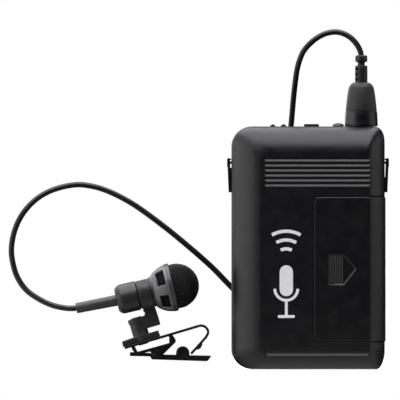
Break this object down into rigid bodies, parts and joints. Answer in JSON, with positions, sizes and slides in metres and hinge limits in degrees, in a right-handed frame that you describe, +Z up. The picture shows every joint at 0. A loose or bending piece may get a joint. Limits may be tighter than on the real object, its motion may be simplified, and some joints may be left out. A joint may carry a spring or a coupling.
{
  "type": "lavalier microphone",
  "caption": "Clip-on lavalier microphone on a thin cable, plugged into a belt-worn wireless transmitter case with a sliding battery door and a rear belt clip.",
  "frame": {"origin": "centre of the transmitter case's flat underside", "axes": "+Z up through the case to its plug, -Y out of the case's front face, +X to the right seen from the front; the microphone lies on the -X side"},
  "size_m": [0.1604, 0.0317, 0.1428],
  "materials": {
    "case_plastic": "fine moulded texture, black",
    "door_plastic": "fine moulded texture, black",
    "knob_plastic": "smooth moulded, black",
    "lens_plastic": "smoked translucent, polished",
    "lamp_plastic": "clear red",
    "inner_plastic": "moulded, dark grey",
    "selector_plastic": "moulded, off-white",
    "cell_wrap": "printed shrink wrap, plain bands",
    "nickel": "nickel plated",
    "brass": "drawn wire",
    "circuit_board": "green solder mask",
    "steel": "zinc plated",
    "black_steel": "satin black coating",
    "rubber": "soft moulded, black",
    "cable_jacket": "smooth extruded jacket, black",
    "mic_paint": "semi-matt dark grey coating",
    "mesh": "woven wire mesh, black",
    "foam": "open-cell foam, black"
  },
  "bodies": {
    "transmitter": {"front_cover": "case_plastic", "rear_cover": "case_plastic", "battery_tray": "inner_plastic", "battery_cell": "cell_wrap", "battery_spring": "nickel", "battery_contact": "nickel", "main_pcb": "circuit_board", "rf_shield": "nickel", "antenna": "brass", "power_switch_body": "inner_plastic", "mute_switch_body": "inner_plastic", "status_lens": "lens_plastic", "status_lamp": "lamp_plastic", "channel_selector_body": "inner_plastic", "gain_trimmer_body": "inner_plastic", "jack_socket": "inner_plastic", "jack_nut": "nickel", "case_screw_1": "steel", "case_screw_2": "steel", "case_screw_3": "steel", "case_screw_4": "steel"},
    "battery_door": {"battery_door": "door_plastic"},
    "power_knob": {"power_knob": "knob_plastic"},
    "mute_knob": {"mute_knob": "knob_plastic"},
    "channel_rotor": {"channel_rotor": "selector_plastic"},
    "gain_rotor": {"gain_rotor": "selector_plastic"},
    "belt_clip": {"belt_clip": "black_steel"},
    "plug": {"plug_shell": "rubber", "plug_sleeve": "nickel", "plug_insulator": "inner_plastic", "plug_tip": "nickel", "strain_relief": "rubber", "cable_plug_end": "cable_jacket"},
    "lock_ring": {"lock_ring": "black_steel"},
    "cable_run": {"cable_main": "cable_jacket"},
    "microphone": {"cable_mic_end": "cable_jacket", "cable_boot": "rubber", "mic_barrel": "mic_paint", "head_cage": "mic_paint", "grille": "mesh", "foam_liner": "foam", "capsule": "steel", "capsule_holder": "rubber"},
    "holder": {"mic_holder": "knob_plastic"},
    "tie_clip": {"swivel_rivet": "black_steel", "clip_saddle": "knob_plastic", "clip_upper_jaw": "black_steel", "clip_spring": "steel"},
    "lower_jaw": {"clip_lower_jaw": "black_steel", "clip_pivot_pin": "steel"}
  },
  "joints": [
    {"name": "battery_door_slide", "type": "slide", "parent": "transmitter", "child": "battery_door", "axis": [1, 0, 0], "range_m": [0, 0.03]},
    {"name": "power_switch_slide", "type": "slide", "parent": "transmitter", "child": "power_knob", "axis": [1, 0, 0], "range_m": [0, 0.002]},
    {"name": "mute_switch_slide", "type": "slide", "parent": "transmitter", "child": "mute_knob", "axis": [1, 0, 0], "range_m": [0, 0.002]},
    {"name": "channel_turn", "type": "hinge", "parent": "transmitter", "child": "channel_rotor", "pos_m": [0.0065, 0, 0.06], "axis": [0, -1, 0], "continuous": true},
    {"name": "gain_turn", "type": "hinge", "parent": "transmitter", "child": "gain_rotor", "pos_m": [0.0065, 0, 0.047], "axis": [0, -1, 0], "range_deg": [-135, 135]},
    {"name": "belt_clip_hinge", "type": "hinge", "parent": "transmitter", "child": "belt_clip", "pos_m": [0, 0.0035, 0.0868], "axis": [1, 0, 0], "range_deg": [0, 15], "stiffness_Nm_per_rad": 0.6, "springref_deg": -5.73},
    {"name": "plug_pull", "type": "slide", "parent": "transmitter", "child": "plug", "axis": [0, 0, 1], "range_m": [0, 0.016]},
    {"name": "lock_ring_turn", "type": "hinge", "parent": "plug", "child": "lock_ring", "pos_m": [0.0224, 0.003, 0.105], "axis": [0, 0, 1], "continuous": true},
    {"name": "cable_flex_top", "type": "hinge", "parent": "plug", "child": "cable_run", "pos_m": [0.0113, 0.003, 0.14175], "axis": [0, 1, 0], "range_deg": [-2, 5]},
    {"name": "cable_flex_loop", "type": "hinge", "parent": "cable_run", "child": "microphone", "pos_m": [-0.1247, 0.0008, 0.0508], "axis": [0, 1, 0], "range_deg": [-5, 20]},
    {"name": "holder_twist", "type": "hinge", "parent": "microphone", "child": "holder", "pos_m": [-0.0678, 0, 0.0319], "axis": [0.9724, 0, 0.2334], "range_deg": [-90, 90]},
    {"name": "clip_swivel", "type": "hinge", "parent": "holder", "child": "tie_clip", "pos_m": [-0.07068, 0, 0.01592], "axis": [-0.284, 0, 0.9588], "continuous": true},
    {"name": "jaw_open", "type": "hinge", "parent": "tie_clip", "child": "lower_jaw", "pos_m": [-0.06337, 0, 0.00672], "axis": [0, 1, 0], "range_deg": [0, 9], "stiffness_Nm_per_rad": 0.04, "springref_deg": -28.65, "deforming": ["clip_spring"]}
  ]
}
